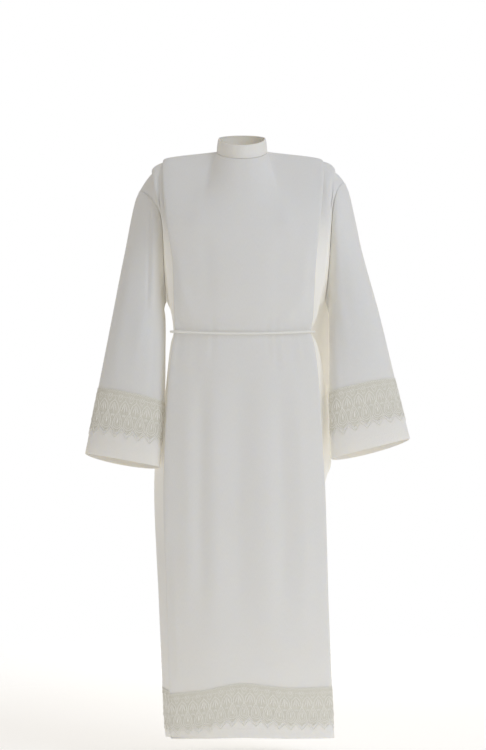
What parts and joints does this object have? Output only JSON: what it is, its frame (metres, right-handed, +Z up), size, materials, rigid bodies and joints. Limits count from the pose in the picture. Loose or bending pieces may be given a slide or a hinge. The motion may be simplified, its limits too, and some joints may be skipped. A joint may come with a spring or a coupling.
{
  "type": "alb",
  "caption": "Long white alb with a stand collar, pleated shoulders, wide bell sleeves, lace bands above the cuffs and the hem, and a thin waist cord.",
  "frame": {"origin": "at the base of the neck, midway between the shoulders that carry the garment", "axes": "+Z up, along the garment's length, +Y to the wearer's back, +X to the wearer's left, which is the right of the picture"},
  "size_m": [0.787, 0.356, 1.4654],
  "materials": {
    "white_cloth": "off-white woven cloth, matt with a faint sheen",
    "lace": "ivory embroidered lace on a dense net",
    "cord": "white twisted cord"
  },
  "bodies": {
    "root": {"body_front": "white_cloth", "body_back": "white_cloth", "collar": "white_cloth", "sleeve_left": "white_cloth", "sleeve_right": "white_cloth", "lace_cuff_left": "lace", "lace_cuff_right": "lace", "lace_hem_front": "lace", "lace_hem_back": "lace", "waist_cord": "cord"}
  },
  "joints": []
}
